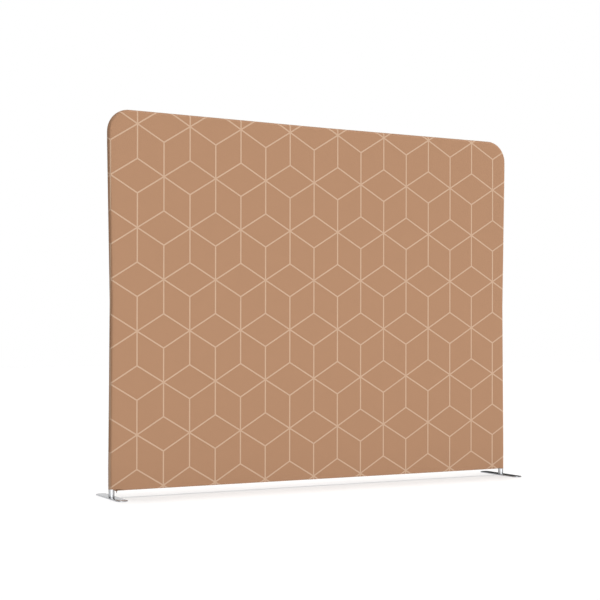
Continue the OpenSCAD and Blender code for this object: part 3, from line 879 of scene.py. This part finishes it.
class DIVIDER_OT_sleeve(bpy.types.Operator):
    """Make the printed sleeve that stretches over the frame"""

    bl_idname = "divider.sleeve"
    bl_label = "Printed sleeve"

    def execute(self, context):
        sleeve = object_from_bmesh("sleeve", build_sleeve(), printed_cloth())
        sleeve.data.shade_smooth()
        wall = sleeve.modifiers.new("Cloth", "SOLIDIFY")
        wall.thickness = context.scene.divider_sleeve.cloth
        wall.offset = -1.0
        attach(sleeve, "frame")
        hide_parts("front_panel", "back_panel", "front_hem", "back_hem")
        return {"FINISHED"}


class DIVIDER_OT_stitching(bpy.types.Operator):
    """Sew the seam along the sleeve's edge and the zip into its hems"""

    bl_idname = "divider.stitching"
    bl_label = "Stitching"

    def execute(self, context):
        p = context.scene.divider_sleeve
        thread = grained("Sewing thread", srgb(152, 120, 96), 0.75, 2500.0)
        sizes = {"Pitch": p.stitch_pitch, "Stitch": p.stitch_pitch * 0.68, "Thread": p.thread}
        tree = row_tree("Stitch row", sizes, thread, stitch_item)
        raised = p.thread * 0.1
        seam = [seam_path(p.seam_ridge + raised, side) for side in (-1, 1)]
        spots = between([-HEM_X + ROW_END, HEM_X - ROW_END], step=0.05)
        zip_rows = [
            [(x, side * y, HEM_Z - raised) for x in spots] for side in (-1, 1) for y in ZIP_ROWS
        ]
        for name, runs in (("seam_stitches", seam), ("zip_stitches", zip_rows)):
            made = repeat_along(name, runs, tree)
            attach(made, "frame")
        return {"FINISHED"}


# Zip


def zip_coils(p):
    """Two rows of coil, one on each side, a half turn apart."""
    gap = 0.0006
    width = COIL_HIGH.y - gap
    height = COIL_HIGH.z - COIL_LOW.z
    z = (COIL_LOW.z + COIL_HIGH.z) / 2
    runs = []
    for side in (-1, 1):
        shift = p.pitch / 4 * side
        ends = [COIL_LOW.x + p.pitch + shift, COIL_HIGH.x - p.pitch + shift]
        runs.append([(x, side * (gap + width / 2), z) for x in between(ends, step=0.1)])
    sizes = {
        "Pitch": p.pitch,
        "Width": height - p.wire,
        "Height": width - p.wire,
        "Wire": p.wire,
    }
    nylon = grained("Nylon coil", p.tape, 0.45, 700.0, depth=0.00002)
    tree = row_tree("Coil row", sizes, nylon, coil_item)
    made = repeat_along("zip_coil_turns", runs, tree)
    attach(made, "frame")
    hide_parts("zip_coils")


def zip_slider(enamel):
    """Two shields joined at the nose, with side walls and lugs for the pull's pin."""
    plate, edge = 0.001, 0.0003
    pin_half, pin_r = 0.0031, 0.0008
    half = SLIDER_HIGH.y
    nose, tail = SLIDER_LOW.x, SLIDER_HIGH.x
    bottom = COIL_LOW.z - 0.0003 - plate
    top = SLIDER_HIGH.z - plate
    flank = [
        (nose + 0.0012, half * 0.72),
        (nose + 0.0042, half),
        (tail - 0.0012, half * 0.86),
        (tail, half * 0.6),
    ]
    shield = [(x, -y) for x, y in flank] + flank[::-1]
    shield += [(nose, half * 0.4), (nose, -half * 0.4)]
    bm = bmesh.new()
    add_prism(bm, shield, bottom, bottom + plate, edge)
    add_prism(bm, shield, top, top + plate, edge)
    low = (nose + 0.0002, -0.0004, bottom + plate / 2)
    high = (nose + 0.0036, 0.0004, top + plate / 2)
    add_block(bm, low, high)
    for side in (-1, 1):
        wall = sorted((0.0036 * side, (half - 0.0001) * side))
        low = (nose + 0.004, wall[0], bottom + 0.0002)
        high = (tail - 0.0016, wall[1], HEM_Z - 0.0003)
        add_block(bm, low, high, edge=0.0002, segments=1)
        lug = sorted((0.0022 * side, 0.0032 * side))
        low = (PIN.x - 0.0017, lug[0], PIN.z - 0.0013)
        high = (PIN.x + 0.0017, lug[1], bottom + 0.0004)
        add_block(bm, low, high, edge)
    add_rod(bm, (PIN.x, -pin_half, PIN.z), (PIN.x, pin_half, PIN.z), pin_r)
    made = object_from_bmesh("zip_slider_body", bm, enamel, 35)
    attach(made, "zip_slider")
    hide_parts("zip_slider")


def zip_pull(enamel):
    """A short tab on a barrel eye, with a slot in its broad end."""
    half = PULL_HIGH.y
    half_thick = 0.0008
    wall, bore = 0.0009, 0.00085
    curve = half * 0.7
    foot = PULL_LOW.z + curve
    neck = PIN.z - 0.0036
    bm = bmesh.new()
    outer_one, inner_one, outer_two, inner_two = (
        [bm.verts.new((PIN.x + v, y, PIN.z + u)) for u, v in circle(r, 28)]
        for y in (-0.002, 0.002)
        for r in (EYE_R, bore)
    )
    join_rings(bm, outer_one, outer_two)
    join_rings(bm, inner_two, inner_one)
    join_rings(bm, inner_one, outer_one)
    join_rings(bm, outer_two, inner_two)
    low = (PIN.x - half_thick, -0.0019, neck - 0.0006)
    high = (PIN.x + half_thick, 0.0019, PIN.z - 0.0011)
    add_block(bm, low, high, edge=0.0002, segments=1)
    turns = [k * math.pi / 12 for k in range(1, 12)]
    rim = [(-half, neck), (half, neck), (half, foot)]
    rim += [(half * math.cos(a), foot - curve * math.sin(a)) for a in turns]
    rim += [(-half, foot)]
    wide, low, high = half - wall, foot - 0.0004, neck - wall
    slot = [(-wide, high), (wide, high), (wide, low), (-wide, low)]
    pull_tab(bm, rim, slot, half_thick)
    made = object_from_bmesh("zip_pull_tab", bm, enamel, 35)
    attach(made, "zip_pull")
    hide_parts("zip_pull")


def pull_tab(bm, rim, slot, half_thick):
    """A flat plate in the YZ plane over a rim of (y, z) points, with a slot."""
    layers = []
    for x in (PIN.x - half_thick, PIN.x + half_thick):
        rings = [[bm.verts.new((x, y, z)) for y, z in ring] for ring in (rim, slot)]
        fill_between(bm, *rings)
        layers.append(rings)
    (rim_one, slot_one), (rim_two, slot_two) = layers
    join_rings(bm, rim_one, rim_two)
    join_rings(bm, slot_two, slot_one)
    bmesh.ops.recalc_face_normals(bm, faces=bm.faces)


class DIVIDER_OT_zip(bpy.types.Operator):
    """Make the zip: tapes, coils, end stops, slider and pull"""

    bl_idname = "divider.zip"
    bl_label = "Zip"

    def execute(self, context):
        p = context.scene.divider_zip
        tape = grained("Zip tape", p.tape, 0.9, 1400.0, depth=0.0001)
        dress("zip_tape_front", tape)
        dress("zip_tape_back", tape)
        enamel = grained("Enamelled metal", p.enamel, 0.38, 500.0, depth=0.00001)
        dress("zip_stops", enamel)
        zip_coils(p)
        zip_slider(enamel)
        zip_pull(enamel)
        return {"FINISHED"}


# Metal parts


def both(*names):
    """The nodes of the left and of the right side under each name."""
    return [f"{name}_{side}" for name in names for side in ("left", "right")]


UPRIGHT_TUBES = both("corner_tee", "lower_post", "upper_post", "top_corner")
UPRIGHT_TUBES += ["centre_post_lower", "centre_post_upper"]
LEVEL_TUBES = both("top_rail", "bottom_rail") + ["top_centre_tee", "bottom_centre_tee"]
INNER_SLEEVES = both("tee_sleeve", "post_sleeve", "corner_sleeve", "rail_sleeve")
INNER_SLEEVES += ["centre_sleeve"]

SCREW_HOLE_R = 0.0041  # the screw's hole, and the sink for its head
SCREW_SINK_R = 0.0081
SCREW_SINK_DEPTH = 0.004


def foot_plate(p, cx):
    """A flat bar with rounded corners, broken edges and a countersunk hole."""
    half_x = (PLATE_HIGH.x - PLATE_LOW.x) / 2
    half_y = PLATE_HIGH.y
    high = PLATE_HIGH.z
    r, e = p.plate_radius, p.plate_edge
    turns = 12

    def rim(inset):
        ring = []
        for qx, qy, start in ((1, 1, 0), (-1, 1, 90), (-1, -1, 180), (1, -1, 270)):
            for k in range(turns + 1):
                a = math.radians(start + 90 * k / turns)
                x = cx + qx * (half_x - r) + (r - inset) * math.cos(a)
                ring.append((x, qy * (half_y - r) + (r - inset) * math.sin(a)))
        return ring

    bm = bmesh.new()
    angles = [math.radians(degrees) for degrees in (90, 60, 30, 0)]
    layers = [(e - e * math.cos(a), e - e * math.sin(a)) for a in angles]
    profile = layers + [(inset, high - z) for inset, z in reversed(layers)]
    sides = [[bm.verts.new((x, y, z)) for x, y in rim(inset)] for inset, z in profile]
    for one, two in pairwise(sides):
        join_rings(bm, one, two)
    sink = [(SCREW_SINK_R, 0.0), (SCREW_HOLE_R, SCREW_SINK_DEPTH), (SCREW_HOLE_R, high)]
    hole = [[bm.verts.new((cx + x, y, z)) for x, y in circle(radius, 32)] for radius, z in sink]
    for one, two in pairwise(hole):
        join_rings(bm, two, one)
    fill_between(bm, sides[0], hole[0])
    fill_between(bm, sides[-1], hole[-1])
    bmesh.ops.recalc_face_normals(bm, faces=bm.faces)
    return bm


class DIVIDER_OT_feet(bpy.types.Operator):
    """Make the two polished foot plates"""

    bl_idname = "divider.feet"
    bl_label = "Foot plates"

    def execute(self, context):
        p = context.scene.divider_metal
        polish = metal("Polished plate", p.plate, 0.2, DRAWN_Y)
        steel = metal("Turned steel", (0.55, 0.56, 0.58), 0.3)
        zinc = metal("Zinc steel", (0.6, 0.6, 0.58), 0.35)
        for side, name in ((-1, "left"), (1, "right")):
            bm = foot_plate(p, side * AXIS_X)
            made = object_from_bmesh(f"foot_plate_{name}_polished", bm, polish, 40)
            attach(made, f"foot_{name}")
            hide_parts(f"foot_plate_{name}")
            dress(f"foot_spigot_{name}", steel)
            dress(f"foot_screw_{name}", zinc)
        return {"FINISHED"}


class DIVIDER_OT_frame(bpy.types.Operator):
    """Finish the tubes, sleeves, rivets and snap buttons"""

    bl_idname = "divider.frame"
    bl_label = "Frame metals"

    def execute(self, context):
        p = context.scene.divider_metal
        for name, stretch, nodes in (
            ("Anodised tube upright", DRAWN_Z, UPRIGHT_TUBES),
            ("Anodised tube level", DRAWN_X, LEVEL_TUBES),
        ):
            # rim: painted shade that darkens the tubes' colour where they are seen edge-on
            anodised = metal(name, p.tube, 0.46, stretch, rim=0.62)
            for node in nodes:
                dress(node, anodised)
        bare = metal("Mill aluminium", (0.72, 0.73, 0.75), 0.42)
        for node in INNER_SLEEVES + ["sleeve_rivets"]:
            dress(node, bare)
        chrome = metal("Snap button steel", (0.78, 0.78, 0.8), 0.14)
        for node in frame["nodes"]:
            if node.startswith("snap_") and node != "snap_springs":
                dress(node, chrome)
        return {"FINISHED"}


def spring_strips(mesh):
    """The springs in the packed node, each as its points and its faces."""
    bm = bmesh.new()
    bm.from_mesh(mesh)
    bmesh.ops.remove_doubles(bm, verts=bm.verts, dist=0.00001)
    found = []
    seen = set()
    for first in bm.verts:
        if first in seen:
            continue
        island = [first]
        seen.add(first)
        for v in island:
            for edge in v.link_edges:
                other = edge.other_vert(v)
                if other not in seen:
                    seen.add(other)
                    island.append(other)
        index = {v: k for k, v in enumerate(island)}
        faces = {f for v in island for f in v.link_faces}
        rings = sorted([index[v] for v in f.verts] for f in faces)
        found.append(([v.co.copy() for v in island], rings))
    bm.free()
    return found


def centre(points):
    return sum(points, Vector()) / len(points)


def strip_spring(button, strip, steel):
    """A spring from its strip in the packed node, named after its snap button."""
    points, faces = strip
    mesh = bpy.data.meshes.new("spring" + button[4:])
    mesh.from_pydata(points, [], faces)
    mesh.materials.append(steel)
    made = object_from(mesh.name, mesh)
    smooth_by_angle(made, 35)
    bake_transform(made)
    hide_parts("snap_springs")


class DIVIDER_OT_springs(bpy.types.Operator):
    """Make the strip springs, one for each snap button"""

    bl_idname = "divider.springs"
    bl_label = "Snap springs"

    def execute(self, context):
        steel = metal("Spring steel", (0.3, 0.33, 0.4), 0.32)
        strips = spring_strips(frame["nodes"]["snap_springs"].data)
        for joint in frame["joints"]:
            button = joint["child"]
            if not button.startswith("snap_"):
                continue
            spot = middle(button)
            strip = min(strips, key=lambda found: (centre(found[0]) - spot).length)
            strips.remove(strip)
            strip_spring(button, strip, steel)
        if strips:
            raise RuntimeError(f"{len(strips)} springs have no snap button")
        return {"FINISHED"}


# Stage

# name, power, spread in degrees, the way toward it, whether the metals mirror it
SUNS = (
    ("overhead_back", 1.56, 8, (0.0, 0.103, 1.0), True),
    ("overhead_front", 1.2, 8, (0.0, -0.06, 1.0), True),
    ("key", 2.95, 8, (0.743, -0.669, 0.045), False),
    ("back_fill", 1.6, 20, (0.5, 0.866, 0.14), False),
)
FLOOR_HALF = 30.0
FLOOR_GAP = 0.0004  # between the floor and the plates' undersides
FLOOR_SHADE = 0.5  # the light that the floor gives back, and its own glow
FLOOR_GLOW = 0.462


def studio_floor():
    """A white floor whose glow hides its far end; only the shadows show on it."""
    bm = bmesh.new()
    bmesh.ops.create_grid(bm, x_segments=8, y_segments=8, size=FLOOR_HALF)
    for v in bm.verts:
        v.co.z = -FLOOR_GAP
    looks = {
        "Roughness": 0.9,
        "Specular IOR Level": 0.0,
        "Emission Color": WHITE,
        "Emission Strength": FLOOR_GLOW,
    }
    made, sheet, shader = new_material("Studio floor", looks)
    place = sheet.add("ShaderNodeTexCoord").outputs["Object"]
    grain = use_group(sheet, "Grain", Place=place, Scale=60.0)
    tone = sheet.weighted(FLOOR_SHADE, (grain["Shade"], 0.02))
    sheet.feed(shader["Base Color"], tinted(sheet, WHITE[:3], tone))
    object_from_bmesh("studio_floor", bm, made)


def studio_world(scene):
    """White to look at; as light, strong from the front and weak from behind."""
    world = bpy.data.worlds.new("Studio")
    world.use_nodes = True
    world.node_tree.nodes.clear()
    sheet = Sheet(world.node_tree)
    way = sheet.add("ShaderNodeTexCoord").outputs["Generated"]

    def lobe(aim, start, end, low, high):
        """Light that rises toward an aim, by the cosine of the angle from it."""
        toward = sheet.add("ShaderNodeVectorMath", {0: way, 1: aim}, operation="DOT_PRODUCT")
        return sheet.ramp(toward.outputs["Value"], start, end, low, high)

    back = lobe((0.09, 0.99, 0.05), 0.88, 0.98, 0.06, 0.96)
    front = lobe((-0.17, -0.983, 0.07), 0.85, 0.99, 0.0, 3.95)
    light = sheet.math("ADD", back, front)
    lit = sheet.add("ShaderNodeBackground", {"Color": WHITE, "Strength": light})
    seen = sheet.add("ShaderNodeBackground", {"Color": WHITE, "Strength": 1.0})
    path = sheet.add("ShaderNodeLightPath").outputs["Is Camera Ray"]
    mixed = sheet.add("ShaderNodeMixShader", {0: path, 1: lit, 2: seen})
    sheet.add("ShaderNodeOutputWorld", {"Surface": mixed})
    scene.world = world


def add_sun(name, power, spread, toward, mirrored):
    """A broad far light."""
    data = bpy.data.lights.new(name, "SUN")
    data.energy = power
    data.angle = math.radians(spread)
    made = object_from(name, data)
    made.location = (0.0, 0.0, 4.0)
    made.rotation_euler = Vector(toward).to_track_quat("Z", "Y").to_euler()
    made.visible_glossy = mirrored


def add_camera(scene):
    p = scene.divider_stage
    data = bpy.data.cameras.new("Camera")
    data.lens = p.lens
    data.sensor_width = 36.0
    data.shift_y = p.rise
    data.clip_end = 200.0
    made = object_from("Camera", data)
    made.location = p.eye
    made.rotation_euler = (math.pi / 2 - p.tilt, 0.0, -p.turn)
    scene.camera = made


class DIVIDER_OT_stage(bpy.types.Operator):
    """Set up the floor, the soft studio light and the camera"""

    bl_idname = "divider.stage"
    bl_label = "Stage"

    def execute(self, context):
        scene = context.scene
        scene.view_settings.view_transform = "Standard"
        studio_floor()
        studio_world(scene)
        for sun in SUNS:
            add_sun(*sun)
        add_camera(scene)
        return {"FINISHED"}


class DIVIDER_PT_panel(bpy.types.Panel):
    """Lists the divider's settings and the steps that build it"""

    bl_idname = "DIVIDER_PT_panel"
    bl_label = "Fabric room divider"
    bl_space_type = "VIEW_3D"
    bl_region_type = "UI"
    bl_category = "Divider"

    def draw(self, context):
        for key, kind in SETTINGS.items():
            box = self.layout.box()
            box.label(text=kind.__doc__)
            for name in kind.__annotations__:
                box.prop(getattr(context.scene, key), name)
        for step in STEPS:
            self.layout.operator(step.bl_idname)


STEPS = (
    DIVIDER_OT_sleeve,
    DIVIDER_OT_stitching,
    DIVIDER_OT_zip,
    DIVIDER_OT_feet,
    DIVIDER_OT_frame,
    DIVIDER_OT_springs,
    DIVIDER_OT_stage,
)
CLASSES = (*SETTINGS.values(), *STEPS, DIVIDER_PT_panel)


def register():
    for kind in CLASSES:
        bpy.utils.register_class(kind)
    for key, kind in SETTINGS.items():
        setattr(bpy.types.Scene, key, PointerProperty(type=kind))


def unregister():
    for key in SETTINGS:
        delattr(bpy.types.Scene, key)
    for kind in reversed(CLASSES):
        bpy.utils.unregister_class(kind)


def main():
    register()
    bpy.ops.divider.sleeve()
    bpy.ops.divider.stitching()
    bpy.ops.divider.zip()
    bpy.ops.divider.feet()
    bpy.ops.divider.frame()
    bpy.ops.divider.springs()
    bpy.ops.divider.stage()


if __name__ == "__main__":
    main()
